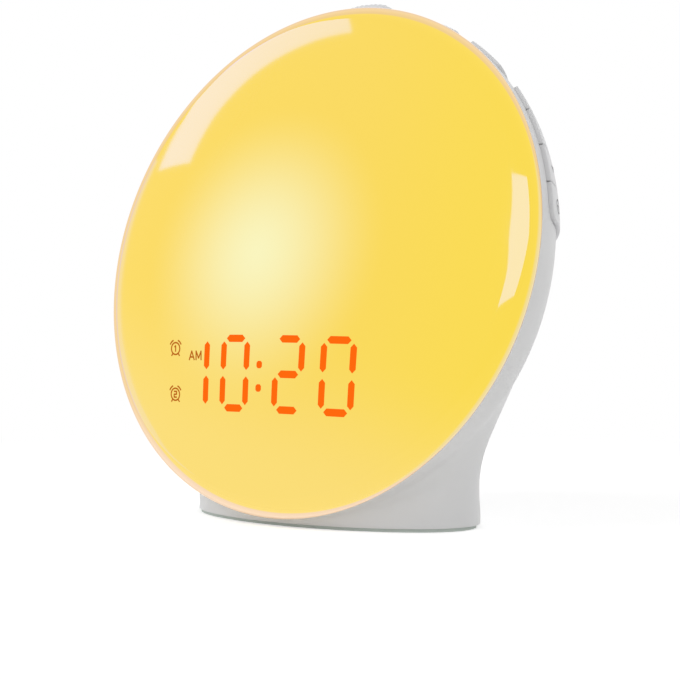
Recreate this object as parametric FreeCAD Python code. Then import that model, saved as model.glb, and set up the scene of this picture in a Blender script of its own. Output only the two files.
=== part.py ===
"""Sunrise alarm clock: a round lit face leaning back on an oval foot, with press keys round its shoulder.

Millimetres. Origin at the centre of the resting face of the foot, +Z up, +X to the right as the
face is looked at, +Y to the back. The face has its own frame: x to the right, v up the leaning
face and w out of it. Angles round the face start at its top and grow towards +X.
"""
import FreeCAD
import Part
import math
import os

from FreeCAD import Placement, Rotation, Vector

# Driving dimensions of the face and the housing
face_radius = 89.0
face_tilt = 14.2
rim_height = 2.92
face_set_forward = 11.4
housing_wall = 2.2
back_depth = 52.5
dome_last_angle = 21.0
dome_sections = 7
foot_half_length = 56.8
foot_half_depth = 29.3
section_points = 48
# One row for each neck section: angle from the face, reach behind the foot, extra half length
neck_sections = ((31.0, 11.2, 8.0), (41.0, 7.0, 2.2), (51.0, 2.7, -0.4), (63.0, 1.4, -0.8))

# Foot
pad_thickness = 1.2
pad_inset = 1.2
base_plate_thickness = 2.4
base_plate_gap = 0.2
base_screw_places = ((51.2, 0.0), (-51.2, 0.0), (25.0, 21.2), (-25.0, 21.2))
foot_boss_height = 12.0

# Front diffuser
diffuser_wall = 2.2
shoulder_radius = 7.0
dome_edge_angle = 8.0
skirt_gap = 0.3
skirt_wall = 2.0
skirt_depth = 1.2
skirt_overlap = 2.6

# Reflector tray behind the diffuser
tray_sheet = 1.6
tray_flange_front = 2.6
tray_flange_inset = 5.0
tray_mouth_inset = 17.0
tray_floor_inset = 23.0
tray_floor_front = 12.0
tray_boss_inset = 8.6
tray_boss_angles = (97.0, 150.0, -97.0, -150.0)
tray_boss_length = 12.0
boss_rib = 2.0

# Boards and fasteners
board_thickness = 1.6
boss_radius = 3.4
screw_radius = 1.2
screw_head_radius = 2.3
screw_head_height = 1.3
screw_length = 8.0
screw_hole_gap = 0.2
pilot_gap = 0.03

# Light board and its emitters
light_board_gap = 5.0
emitter_size = (3.5, 2.8, 1.4)
# One row for each ring of emitters: share of the light board's radius, count
emitter_rings = ((0.885, 16), (0.56, 10), (0.2, 4))
emitter_display_margin = 4.0

# Time display: three full figures, a leading one, a colon and three small windows
display_front = 3.6
display_depth = 5.0
display_box = (-53.4, 36.0, -59.0, -27.4)
display_board_box = (-46.0, 31.0, -53.4, -31.4)
display_post_radius = 2.0
display_post_inset = 3.4
figure_middle = -42.9
figure_height = 23.8
figure_width = 10.8
figure_lean = -0.15
full_figure_centres = (-16.0, 7.0, 26.0)
leading_figure_centre = -35.0
colon_centre = -5.2
colon_rise = 3.9
colon_size = (3.1, 2.6)
stroke = 2.5
stroke_gap = 0.45
segment_proud = 0.4
segment_seat = 1.2
# One row for each small window: centre across, centre up, width, height
window_places = ((-35.5, -37.2, 7.6, 4.2), (-44.9, -34.9, 6.8, 6.8), (-41.8, -51.0, 6.8, 6.8))

# Press keys on the shoulder of the housing
key_raise = 1.3
key_front = 4.6
key_back = 28.0
key_gap = 0.4
key_travel = 0.5
key_flange = 1.2
key_flange_lip = 1.0
key_flange_clearance = 0.3
key_corner = 1.0
key_end_corner = 4.5
key_top_round = 0.4
key_post_radius = 2.0
pad_keys = ((16.8, 28.0), (32.2, 43.0))
strip_edges = (48.0, 56.0, 65.0, 73.6, 82.0)
snooze_half_angle = 9.0
snooze_front = 5.0
snooze_back = 21.0
snooze_raise = 1.9
snooze_corner = 7.0
rib_count = 9
rib_pitch = 1.9
rib_width = 0.8
rib_height = 0.4
rib_end_inset = 3.6

# Ring board with side-acting switches under the keys
ring_board_front = 14.0
ring_board_inset = 12.6
ring_board_width = 6.8
ring_board_half_angle = 89.0
ring_post_angles = (12.9, 45.5, 86.3)
ring_post_inset = 16.4
ring_post_radius = 2.1
switch_width = 6.0
switch_body = 3.5
switch_height = 4.5
switch_setback = 1.0
switch_stem_radius = 1.5
switch_stem_length = 0.9
switch_rest_gap = 0.9

# Speaker and its grille, on the axis of the face
speaker_radius = 20.0
speaker_seat_front = 46.4
speaker_seat_width = 2.0
gasket_height = 1.0
speaker_flange = 1.5
basket_radius = 16.0
basket_neck_radius = 9.0
basket_length = 8.0
basket_sheet = 1.0
magnet_radius = 11.0
magnet_height = 6.0
cone_sheet = 0.6
cone_gap = 0.5
cone_fit = 0.1
cone_cap_radius = 5.0
speaker_screw_circle = 23.2
speaker_screw_count = 3
speaker_screw_length = 5.0
speaker_screw_head_radius = 4.0
speaker_boss_radius = 2.6
grille_hole_radius = 1.15
grille_pitch = 4.6
grille_rings = 3

# Main board
main_board_size = (78.0, 40.0)
main_board_middle = 35.0
main_board_front = 22.4
main_board_screw_inset = 4.0
board_boss_radius = 2.8
# One row for each chip: centre across, centre up from the board's middle, width, height, thickness
chip_places = (
    (-18.0, 4.0, 12.0, 12.0, 1.6),
    (6.0, 8.0, 9.0, 7.0, 1.8),
    (24.0, -6.0, 8.0, 10.0, 2.2),
    (2.0, -9.0, 10.0, 5.0, 1.4),
    (-27.0, -12.0, 5.0, 5.0, 3.0),
)

# Power inlet
power_board_box = (-15.0, 15.0, 2.0, 27.4)
power_board_height = 12.0
power_post_radius = 2.6
power_post_inset = 3.2
jack_half_width = 4.5
jack_length = 13.0
jack_height = 11.0
jack_wall_gap = 0.4
jack_nose_radius = 4.0
jack_nose_reach = 3.0
jack_hole_gap = 0.25
jack_bore_radius = 3.15
jack_bore_depth = 9.5
jack_pin_radius = 1.0
jack_pin_setback = 0.8

# Backup cell under the foot
cell_radius = 10.0
cell_height = 3.2
cell_centre = (-30.0, 0.0)
cell_gap = 0.5
cell_cup_wall = 1.4
contact_sheet = 0.4
contact_radius = 6.0
door_margin = 4.0
door_thickness = 1.4
door_gap = 0.2
door_screw_offset = 12.2
door_screw_radius = 0.8
door_screw_head_radius = 1.4
door_screw_head_height = 0.7
door_screw_length = 4.0

# Places worked out from the driving dimensions
TILT = math.radians(face_tilt)
FACE_UP = Vector(0, math.sin(TILT), math.cos(TILT))
FACE_OUT = Vector(0, -math.cos(TILT), math.sin(TILT))
FACE_CENTRE_HEIGHT = face_radius * math.cos(TILT) + rim_height
FACE_CENTRE = Vector(0, -face_set_forward, FACE_CENTRE_HEIGHT)
FACE = Placement(FACE_CENTRE, Rotation(Vector(1, 0, 0), 90 - face_tilt))
HINGE_DROP = FACE_CENTRE_HEIGHT / math.cos(TILT)
HINGE = FACE_CENTRE - FACE_UP * HINGE_DROP
FULL_TURN = 90 - face_tilt
AXIS = Vector(0, 0, 1)
CENTRE = Vector(0, 0, 0)
FAR = 300.0
KEY_MIDDLE = (key_front + key_back) / 2
tray_flange_radius = face_radius - tray_flange_inset
tray_mouth_radius = face_radius - tray_mouth_inset
tray_floor_radius = face_radius - tray_floor_inset
tray_boss_circle = face_radius - tray_boss_inset
light_board_radius = tray_floor_radius - light_board_gap
ring_board_outer = face_radius - ring_board_inset
ring_board_inner = ring_board_outer - ring_board_width
ring_post_circle = face_radius - ring_post_inset


def save(name, shape):
    """Writes one sub-part's STEP file."""
    shape.exportStep("parts/" + name + ".step")


def fuse(shapes):
    """All the shapes as one."""
    return shapes[0].fuse(list(shapes[1:])).removeSplitter()


def on_face(shape):
    """A shape drawn in the face's frame, carried to its place."""
    placed = shape.copy()
    placed.Placement = FACE.multiply(placed.Placement)
    return placed


def turned(shape, angle):
    """A shape drawn at the top of the face, in its frame, carried round it by an angle."""
    moved = shape.copy()
    moved.rotate(CENTRE, AXIS, -angle)
    return moved


def block(x0, x1, y0, y1, z0, z1):
    """A box between two corners."""
    return Part.makeBox(x1 - x0, y1 - y0, z1 - z0, Vector(x0, y0, z0))


def rod(radius, start, end):
    """A cylinder from one point to another."""
    way = end - start
    return Part.makeCylinder(radius, way.Length, start, way)


def disc(radius, low, high, x=0.0, y=0.0):
    """A cylinder along the third axis between two levels."""
    return Part.makeCylinder(radius, high - low, Vector(x, y, low))


def ring(outer, inner, low, high):
    """A flat ring about the third axis between two levels."""
    return disc(outer, low, high).cut(disc(inner, low - 1, high + 1))


def revolved(steps):
    """A solid turned about the third axis; each step of the outline is a line or an arc of (radius, level)."""
    edges = []
    for step in steps:
        here = [Vector(r, 0, w) for r, w in step]
        curve = Part.LineSegment(*here) if len(here) == 2 else Part.Arc(*here)
        edges.append(curve.toShape())
    return Part.Face(Part.Wire(edges)).revolve(CENTRE, AXIS, 360)


def round_outline(points):
    """The lines that join a closed row of (radius, level) points."""
    return [(points[k], points[(k + 1) % len(points)]) for k in range(len(points))]


def around(radius, angle):
    """Across and up of a place on the face, from its distance out and its angle from the top."""
    a = math.radians(angle)
    return radius * math.sin(a), radius * math.cos(a)


# Outer form of the housing

def dome_section(angle, grow):
    """Near edge, far edge and half width where a plane through the hinge line cuts the back dome."""
    radius = face_radius + grow
    depth = back_depth + grow
    c = math.cos(math.radians(angle))
    s = math.sin(math.radians(angle))
    square = (c / radius) ** 2 + (s / depth) ** 2
    linear = HINGE_DROP * c / radius ** 2
    spread = math.sqrt(linear ** 2 - square * ((HINGE_DROP / radius) ** 2 - 1))
    near = (linear - spread) / square
    far = (linear + spread) / square
    v = (near + far) / 2 * c - HINGE_DROP
    w = (near + far) / 2 * s
    return angle, near, far, radius * math.sqrt(1 - (v / radius) ** 2 - (w / depth) ** 2)


def neck_section(angle, overhang, extra, grow):
    """Near edge, far edge and half width of one section of the neck."""
    reach = foot_half_depth + overhang + grow - HINGE.y
    rim_near = HINGE_DROP - face_radius
    foot_near = -foot_half_depth - HINGE.y
    near = rim_near + (foot_near - rim_near) * angle / FULL_TURN - grow
    far = reach / math.cos(math.radians(FULL_TURN - angle))
    return angle, near, far, foot_half_length + extra + grow


def section_row(angle, near, far, half_width):
    """Points round an ellipse in the plane through the hinge line at an angle from the face."""
    a = math.radians(angle)
    way = FACE_UP * math.cos(a) - FACE_OUT * math.sin(a)
    centre = HINGE + way * ((near + far) / 2)
    row = []
    for k in range(section_points + 1):
        turn = 2 * math.pi * k / section_points
        across = Vector(half_width * math.sin(turn), 0, 0)
        row.append(centre + across + way * ((far - near) / 2 * math.cos(turn)))
    return row


def housing_form(grow):
    """The housing's solid form from the face to the foot, grown outwards by a thickness."""
    step = dome_last_angle / (dome_sections - 1)
    sizes = [dome_section(step * k, grow) for k in range(dome_sections)]
    sizes += [neck_section(*row, grow) for row in neck_sections + ((FULL_TURN, 0.0, 0.0),)]
    surface = Part.BSplineSurface()
    surface.interpolate([section_row(*size) for size in sizes])
    side = surface.toShape()
    ends = [Part.Face(Part.Wire(edge)) for edge in side.Edges if edge.isClosed()]
    shell = Part.Shell([side] + ends)
    shell.sewShape()
    solid = Part.Solid(shell)
    if solid.Volume < 0:
        solid.reverse()
    return solid


def back_dome(grow):
    """The back dome alone, in the face's frame, grown outwards by a thickness."""
    radius = face_radius + grow
    depth = back_depth + grow
    ellipse = Part.Ellipse(Vector(radius, 0, 0), Vector(0, 0, -depth), CENTRE)
    quarter = Part.Arc(ellipse, 0, math.pi / 2).toShape()
    low = Part.makeLine(Vector(0, 0, -depth), CENTRE)
    top = Part.makeLine(CENTRE, Vector(radius, 0, 0))
    return Part.Face(Part.Wire([quarter, low, top])).revolve(CENTRE, AXIS, 360)


# Points and directions on the shoulder of the dome

def shoulder_point(angle, back, depth=0.0):
    """A point on the dome, a distance behind the rim and a depth under its surface, in the face's frame."""
    radius = face_radius * math.sqrt(1 - (back / back_depth) ** 2)
    lean = math.atan2(back / back_depth ** 2, radius / face_radius ** 2)
    x, v = around(radius - depth * math.cos(lean), angle)
    return Vector(x, v, -back + depth * math.sin(lean))


def shoulder_normal(angle, back):
    """The outward normal of the dome there."""
    return (shoulder_point(angle, back) - shoulder_point(angle, back, 1.0)).normalize()


def sector(first, last, front, back, grow, corners):
    """A wedge standing on the dome between two angles and two distances behind the rim, corners rounded."""
    normal = shoulder_normal(0, (front + back) / 2)
    along = Vector(0, normal.z, -normal.y)
    ends = [shoulder_point(0, front) - along * grow, shoulder_point(0, back) + along * grow]
    outline = [ends[0] + normal * 8, ends[0] - normal * 10, ends[1] - normal * 10, ends[1] + normal * 8]
    spare = math.degrees(grow / shoulder_point(0, (front + back) / 2).y)
    start = turned(Part.Face(Part.makePolygon(outline + outline[:1])), first - spare)
    wedge = start.revolve(CENTRE, AXIS, -(last - first + 2 * spare))
    for side, radius in zip((first, last), corners):
        low = side == first
        picked = []
        for edge in wedge.Edges:
            middle = edge.CenterOfMass
            turn = math.degrees(math.atan2(middle.x, middle.y))
            straight = edge.Curve.TypeId == "Part::GeomLine" and edge.Length > 17
            if straight and (turn < (first + last) / 2) == low:
                picked.append(edge)
        wedge = wedge.makeFillet(radius, picked)
    return wedge


# Housing and foot

def foot_slab(grow, low, high):
    """An oval slab, the size of the foot grown by a thickness, between two levels."""
    oval = Part.Ellipse(CENTRE, foot_half_length + grow, foot_half_depth + grow)
    slab = Part.Face(Part.Wire(oval.toShape())).extrude(Vector(0, 0, high - low))
    slab.translate(Vector(0, 0, low))
    return slab


def grille_places():
    """Centres of the grille holes: one in the middle and rings of six, twelve and so on round it."""
    places = [(0.0, 0.0)]
    for k in range(1, grille_rings + 1):
        places += [around(k * grille_pitch, 360 * n / (6 * k)) for n in range(6 * k)]
    return places


def board_screw_places():
    """Centres of the main board's screws."""
    half_x = main_board_size[0] / 2 - main_board_screw_inset
    half_v = main_board_size[1] / 2 - main_board_screw_inset
    return [(i * half_x, main_board_middle + j * half_v) for i in (-1, 1) for j in (-1, 1)]


def key_cells():
    """First angle, last angle and corner radii at its two ends of each cut-out on the +X side."""
    cells = [(first, last, (key_corner, key_corner)) for first, last in pad_keys]
    cells.append((strip_edges[0], strip_edges[-1], (key_end_corner, key_end_corner)))
    return cells


def make_rear_housing():
    outer = housing_form(0.0)
    shell = outer.cut(housing_form(-housing_wall))
    inner_posts = []
    pilots = []
    for angle in ring_post_angles:
        for side in (-1, 1):
            x, v = around(ring_post_circle, side * angle)
            inner_posts.append(disc(ring_post_radius, -back_depth, -ring_board_front - board_thickness, x, v))
    for x, v in board_screw_places():
        post = disc(board_boss_radius, -back_depth - 4, -main_board_front - board_thickness, x, v)
        inner_posts.append(post)
        tip = -main_board_front + screw_head_height - screw_length
        pilots.append(on_face(disc(screw_radius + pilot_gap, tip, 0, x, v)))
    flange_back = tray_flange_front + tray_sheet
    for angle in tray_boss_angles:
        boss = disc(boss_radius, -flange_back - tray_boss_length, -flange_back, 0, tray_boss_circle)
        rib = block(-boss_rib / 2, boss_rib / 2, tray_boss_circle, face_radius,
                    -flange_back - tray_boss_length, -flange_back)
        inner_posts.append(turned(boss.fuse(rib), angle))
        tip = -tray_flange_front + screw_head_height - screw_length
        pilots.append(on_face(turned(disc(screw_radius + pilot_gap, tip, 0, 0, tray_boss_circle), angle)))
    seat = ring(speaker_radius, speaker_radius - speaker_seat_width, -back_depth - 4, -speaker_seat_front)
    inner_posts.append(seat)
    head_seat = speaker_seat_front - gasket_height - speaker_flange
    for n in range(speaker_screw_count):
        x, v = around(speaker_screw_circle, 360 * n / speaker_screw_count)
        inner_posts.append(disc(speaker_boss_radius, -back_depth - 4, -head_seat, x, v))
        tip = -head_seat + screw_head_height - speaker_screw_length
        pilots.append(on_face(disc(screw_radius + pilot_gap, tip, 0, x, v)))
    boss_low = pad_thickness + base_plate_thickness
    foot_bosses = []
    for x, y in base_screw_places:
        foot_bosses.append(disc(boss_radius, boss_low, boss_low + foot_boss_height, x, y))
        pilots.append(disc(screw_radius + pilot_gap, 0, pad_thickness + screw_head_height + screw_length, x, y))
    posts = Part.makeCompound([on_face(post) for post in inner_posts] + foot_bosses)
    inside = posts.common(outer)
    housing = shell.fuse(inside.Solids)
    cuts = [on_face(disc(grille_hole_radius, -FAR, -speaker_seat_front, x, v)) for x, v in grille_places()]
    for first, last, corners in key_cells():
        cuts.append(on_face(sector(first, last, key_front, key_back, 0, corners)))
        cuts.append(on_face(sector(-last, -first, key_front, key_back, 0, corners[::-1])))
    cuts.append(on_face(sector(-snooze_half_angle, snooze_half_angle, snooze_front, snooze_back, 0,
                               (snooze_corner, snooze_corner))))
    jack_level = power_board_height + board_thickness + jack_height / 2
    cuts.append(rod(jack_nose_radius + jack_hole_gap, Vector(0, 0, jack_level), Vector(0, FAR, jack_level)))
    cuts.append(block(-FAR, FAR, -FAR, FAR, -1, pad_thickness))
    return housing.cut(cuts + pilots).removeSplitter()


def base_screw(x, y):
    """One screw of the base plate, its head in the plate's under face."""
    head = disc(screw_head_radius, pad_thickness, pad_thickness + screw_head_height, x, y)
    shank = disc(screw_radius, pad_thickness, pad_thickness + screw_head_height + screw_length, x, y)
    return head.fuse(shank).removeSplitter()


def power_post_places():
    """Centres of the posts under the power board."""
    x0, x1, y0, y1 = power_board_box
    inset = power_post_inset
    return [(x, y) for x in (x0 + inset, x1 - inset) for y in (y0 + inset, y1 - 2 * inset)]


def make_base_plate():
    low = pad_thickness
    high = low + base_plate_thickness
    inner = housing_form(-housing_wall - base_plate_gap)
    slab = block(-FAR, FAR, -FAR, FAR, low, high).common(inner)
    x, y = cell_centre
    door_top = low + door_thickness
    roof = door_top + cell_height + 2 * contact_sheet
    adds = [disc(cell_radius + cell_gap + cell_cup_wall, low, roof + cell_cup_wall, x, y)]
    adds += [disc(power_post_radius, low, power_board_height, i, j) for i, j in power_post_places()]
    adds.append(disc(screw_head_radius, low, high + door_screw_length / 2, x + door_screw_offset, y))
    cuts = [disc(cell_radius + door_margin + door_gap, 0, door_top, x, y)]
    cuts.append(disc(cell_radius + cell_gap, 0, roof, x, y))
    cuts.append(disc(door_screw_radius, 0, door_top + door_screw_length, x + door_screw_offset, y))
    for i, j in base_screw_places:
        cuts.append(disc(screw_head_radius + screw_hole_gap, 0, low + screw_head_height, i, j))
        cuts.append(disc(screw_radius + screw_hole_gap, 0, high + 1, i, j))
    return slab.fuse(adds).cut(cuts).removeSplitter()


def make_base_pad():
    pad = foot_slab(-pad_inset, 0, pad_thickness)
    x, y = cell_centre
    return pad.cut(disc(cell_radius + door_margin + door_gap, -1, pad_thickness + 1, x, y))


def make_battery_door():
    low = pad_thickness
    x, y = cell_centre
    door = disc(cell_radius + door_margin, low, low + door_thickness, x, y)
    head = disc(door_screw_head_radius + screw_hole_gap, 0, low + door_screw_head_height, x + door_screw_offset, y)
    hole = disc(door_screw_radius + screw_hole_gap, 0, low + door_thickness + 1, x + door_screw_offset, y)
    return door.cut([head, hole])


def make_battery_door_screw():
    low = pad_thickness
    x, y = cell_centre
    head = disc(door_screw_head_radius, low, low + door_screw_head_height, x + door_screw_offset, y)
    tip = low + door_thickness + door_screw_length
    return head.fuse(disc(door_screw_radius, low, tip, x + door_screw_offset, y)).removeSplitter()


def make_coin_cell():
    low = pad_thickness + door_thickness + contact_sheet
    return disc(cell_radius, low, low + cell_height, *cell_centre)


def make_battery_contacts():
    low = pad_thickness + door_thickness
    high = low + contact_sheet + cell_height
    discs = [disc(contact_radius, level, level + contact_sheet, *cell_centre) for level in (low, high)]
    return Part.makeCompound(discs)


# Front diffuser, tray, lights and display

def make_front_diffuser():
    """A low dome on a rounded shoulder, with a locating skirt inside the housing's wall."""
    centre_r = face_radius - shoulder_radius
    slope = math.radians(dome_edge_angle)
    cap = (centre_r + shoulder_radius * math.sin(slope)) / math.sin(slope)
    cap_level = shoulder_radius * math.cos(slope) - cap * math.cos(slope)

    def skin(inset):
        """Rim point, mid-shoulder, shoulder end, mid-dome and crown of the skin set in by a thickness."""
        small = shoulder_radius - inset
        big = cap - inset
        mid = (math.pi / 2 - slope) / 2
        rim = (centre_r + small, 0)
        middle = (centre_r + small * math.cos(mid), small * math.sin(mid))
        end = (centre_r + small * math.sin(slope), small * math.cos(slope))
        half = (big * math.sin(slope / 2), cap_level + big * math.cos(slope / 2))
        return rim, middle, end, half, (0, cap_level + big)

    out = skin(0)
    inn = skin(diffuser_wall)
    wall = revolved([(out[0], out[1], out[2]), (out[2], out[3], out[4]), (out[4], inn[4]),
                     (inn[4], inn[3], inn[2]), (inn[2], inn[1], inn[0]), (inn[0], out[0])])
    skirt_outer = face_radius - housing_wall - skirt_gap
    skirt = ring(skirt_outer, skirt_outer - skirt_wall, -skirt_depth, skirt_overlap)
    return on_face(wall.fuse(skirt).removeSplitter())


def make_reflector_tray():
    front = -tray_flange_front
    back = front - tray_sheet
    floor = -tray_floor_front
    outline = [(0, floor), (tray_floor_radius, floor), (tray_mouth_radius, front), (tray_flange_radius, front),
               (tray_flange_radius, back), (tray_mouth_radius + tray_sheet, back),
               (tray_floor_radius + tray_sheet, floor - tray_sheet), (0, floor - tray_sheet)]
    tray = revolved(round_outline(outline))
    holes = [turned(disc(screw_radius + screw_hole_gap, back - 1, front + 1, 0, tray_boss_circle), angle)
             for angle in tray_boss_angles]
    return on_face(tray.cut(holes))


def face_screw(level, head_radius, length):
    """A screw at the middle of the face's frame, pointing back, its head standing on a level."""
    head = disc(head_radius, level, level + screw_head_height)
    return head.fuse(disc(screw_radius, level + screw_head_height - length, level)).removeSplitter()


def screws_at(places, level, head_radius=screw_head_radius, length=screw_length):
    """Screws standing at several places of the face."""
    made = []
    for x, v in places:
        one = face_screw(level, head_radius, length)
        one.translate(Vector(x, v, 0))
        made.append(on_face(one))
    return Part.makeCompound(made)


def make_light_board():
    return on_face(disc(light_board_radius, -tray_floor_front, -tray_floor_front + board_thickness))


def under_display(x, v):
    """True where the display covers the light board."""
    x0, x1, v0, v1 = display_box
    margin = emitter_display_margin
    return x0 - margin < x < x1 + margin and v0 - margin < v < v1 + margin


def make_light_leds():
    width, height, thick = emitter_size
    low = -tray_floor_front + board_thickness
    made = []
    for share, count in emitter_rings:
        for n in range(count):
            x, v = around(share * light_board_radius, 360 * (n + 0.5) / count)
            if not under_display(x, v):
                made.append(on_face(block(x - width / 2, x + width / 2, v - height / 2, v + height / 2,
                                          low, low + thick)))
    return Part.makeCompound(made)


def bar(start, end, width):
    """Outline of one straight segment with pointed ends."""
    way = (end - start).normalize()
    side = Vector(-way.y, way.x, 0) * (width / 2)
    a = start + way * (width / 2)
    b = end - way * (width / 2)
    corners = [start, a + side, b + side, end, b - side, a - side]
    return corners


def leaned(point):
    """A point of the figures, sheared about the middle height by their lean."""
    return Vector(point.x + figure_lean * (point.y - figure_middle), point.y, 0)


def figure_bars(centre):
    """Start and end of the seven bars of one figure: top, middle, bottom, then left and right pairs."""
    half_w = figure_width / 2
    half_h = figure_height / 2
    levels = [figure_middle + half_h, figure_middle, figure_middle - half_h]
    short = stroke_gap
    bars = [(Vector(centre - half_w + short, y, 0), Vector(centre + half_w - short, y, 0)) for y in levels]
    for x in (centre - half_w, centre + half_w):
        for high, low in ((levels[0], levels[1]), (levels[1], levels[2])):
            bars.append((Vector(x, high - short, 0), Vector(x, low + short, 0)))
    return bars


def prism(corners, low, high):
    """A flat plate with the given outline between two levels."""
    flat = [Vector(p.x, p.y, low) for p in corners]
    return Part.Face(Part.makePolygon(flat + flat[:1])).extrude(Vector(0, 0, high - low))


def box_corners(x0, x1, y0, y1):
    """Corners of a rectangle."""
    return [Vector(x0, y0, 0), Vector(x1, y0, 0), Vector(x1, y1, 0), Vector(x0, y1, 0)]


def display_outlines():
    """Outlines of all the lit windows: full figures, the leading one, the colon and the small windows."""
    outlines = []
    for centre in full_figure_centres:
        outlines += [bar(a, b, stroke) for a, b in figure_bars(centre)]
    outlines += [bar(a, b, stroke) for a, b in figure_bars(leading_figure_centre)[-2:]]
    width, height = colon_size
    for side in (-1, 1):
        y = figure_middle + side * colon_rise
        outlines.append(box_corners(colon_centre - width / 2, colon_centre + width / 2,
                                    y - height / 2, y + height / 2))
    outlines = [[leaned(p) for p in outline] for outline in outlines]
    for x, y, width, height in window_places:
        outlines.append(box_corners(x - width / 2, x + width / 2, y - height / 2, y + height / 2))
    return outlines


def segments(low, high):
    """The lit windows as plates between two levels."""
    return [prism(outline, low, high) for outline in display_outlines()]


def make_display_block():
    x0, x1, v0, v1 = display_box
    body = block(x0, x1, v0, v1, display_front - display_depth, display_front)
    return on_face(body.cut(segments(display_front - segment_seat, display_front + 1)))


def make_display_segments():
    plates = segments(display_front - segment_seat, display_front + segment_proud)
    return Part.makeCompound([on_face(plate) for plate in plates])


def make_display_board():
    x0, x1, v0, v1 = display_board_box
    back = display_front - display_depth
    return on_face(block(x0, x1, v0, v1, back - board_thickness, back))


def make_display_posts():
    x0, x1, v0, v1 = display_board_box
    inset = display_post_inset
    low = -tray_floor_front + board_thickness
    high = display_front - display_depth - board_thickness
    places = [(x, v) for x in (x0 + 2 * inset, x1 - inset) for v in (v0 + inset, v1 - inset)]
    return Part.makeCompound([on_face(disc(display_post_radius, low, high, x, v)) for x, v in places])


# Keys, their ring board and switches

def make_key(first, last, front, back, rise, corners, lip):
    """One key in the face's frame: a raised cap, a flange under the shell and a post over its switch.

    The lip is how far the flange runs past the cap at its two ends round the face.
    """
    cap = sector(first, last, front, back, -key_gap, corners)
    under = housing_wall + key_flange_clearance
    body = cap.common(back_dome(rise)).cut(back_dome(-under - key_flange))
    top = max(body.Faces, key=lambda face: face.Area)
    body = body.makeFillet(key_top_round, top.Edges)
    side = math.degrees(lip / face_radius)
    flange = sector(first - side, last + side, front - key_flange_lip, back + key_flange_lip, -key_gap,
                    (key_corner, key_corner))
    flange = flange.common(back_dome(-under)).cut(back_dome(-under - key_flange))
    middle = (first + last) / 2
    normal = shoulder_normal(middle, KEY_MIDDLE)
    start = shoulder_point(middle, KEY_MIDDLE, under + key_flange / 2)
    target = ring_board_outer + switch_stem_length - switch_setback + switch_rest_gap
    lean = math.sqrt(normal.x ** 2 + normal.y ** 2)
    reach = (math.hypot(start.x, start.y) - target - key_post_radius * abs(normal.z)) / lean
    post = rod(key_post_radius, start, start - normal * reach)
    return body.fuse([flange, post]).removeSplitter()


def make_snooze_key():
    half = snooze_half_angle
    corners = (snooze_corner, snooze_corner)
    key = make_key(-half, half, snooze_front, snooze_back, snooze_raise, corners, key_flange_lip)
    ribs = []
    for n in range(rib_count):
        x = rib_pitch * (n - (rib_count - 1) / 2)
        rib = block(x - rib_width / 2, x + rib_width / 2, 0, FAR,
                    -snooze_back + rib_end_inset, -snooze_front - rib_end_inset)
        ribs.append(rib.common(back_dome(snooze_raise + rib_height)).cut(back_dome(snooze_raise - rib_height)))
    return on_face(key.fuse(ribs).removeSplitter())


def strip_and_pad_keys():
    """First angle, last angle, corner radii and flange lip of the six keys on the +X side."""
    rows = [(first, last, (key_corner, key_corner), key_flange_lip) for first, last in pad_keys]
    share = math.degrees(key_gap / 2 / face_radius)
    last_cell = len(strip_edges) - 2
    for n in range(last_cell + 1):
        low = strip_edges[n] - (0 if n == 0 else share)
        high = strip_edges[n + 1] + (0 if n == last_cell else share)
        corners = (key_end_corner if n == 0 else key_corner / 2, key_end_corner if n == last_cell else key_corner / 2)
        rows.append((low, high, corners, 0.0))
    return rows


def switch_angles():
    """Angles of the thirteen switches round the face."""
    right = [(row[0] + row[1]) / 2 for row in strip_and_pad_keys()]
    return [0.0] + right + [-angle for angle in right]


def make_key_board():
    start = turned(Part.Face(Part.makePolygon([
        Vector(0, ring_board_inner, -ring_board_front), Vector(0, ring_board_outer, -ring_board_front),
        Vector(0, ring_board_outer, -ring_board_front - board_thickness),
        Vector(0, ring_board_inner, -ring_board_front - board_thickness),
        Vector(0, ring_board_inner, -ring_board_front)])), -ring_board_half_angle)
    return on_face(start.revolve(CENTRE, AXIS, -2 * ring_board_half_angle))


def make_key_switches():
    made = []
    outer = ring_board_outer - switch_setback
    level = -ring_board_front
    for angle in switch_angles():
        body = block(-switch_width / 2, switch_width / 2, outer - switch_body, outer, level, level + switch_height)
        stem_level = level + switch_height / 2
        stem = rod(switch_stem_radius, Vector(0, outer, stem_level),
                   Vector(0, outer + switch_stem_length, stem_level))
        made.append(on_face(turned(body.fuse(stem), angle)))
    return Part.makeCompound(made)


# Speaker, main board and power inlet

def make_speaker_gasket():
    return on_face(ring(speaker_radius, speaker_radius - speaker_seat_width, -speaker_seat_front,
                        -speaker_seat_front + gasket_height))


def make_speaker_frame():
    low = -speaker_seat_front + gasket_height
    high = low + speaker_flange
    neck = high + basket_length
    sheet = basket_sheet
    outline = [(basket_radius, low), (speaker_radius, low), (speaker_radius, high), (basket_radius + sheet, high),
               (basket_neck_radius + sheet, neck), (basket_neck_radius, neck), (basket_neck_radius, neck - sheet),
               (basket_radius, high - sheet / 2)]
    return on_face(revolved(round_outline(outline)))


def make_speaker_magnet():
    low = -speaker_seat_front + gasket_height + speaker_flange + basket_length
    return on_face(disc(magnet_radius, low, low + magnet_height))


def make_speaker_cone():
    """A shallow paper cone with a domed dust cap, its rim on the gasket side of the frame."""
    low = -speaker_seat_front + gasket_height + cone_gap
    deep = low + basket_length / 2
    edge = basket_radius - cone_gap
    cap = cone_cap_radius
    rim = edge + cone_gap - cone_fit
    outline = [(0, deep), (cap, deep), (edge, low), (rim, low), (rim, low + cone_sheet),
               (edge, low + cone_sheet), (cap, deep + cone_sheet), (0, deep + cone_sheet)]
    return on_face(revolved(round_outline(outline)))


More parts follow.
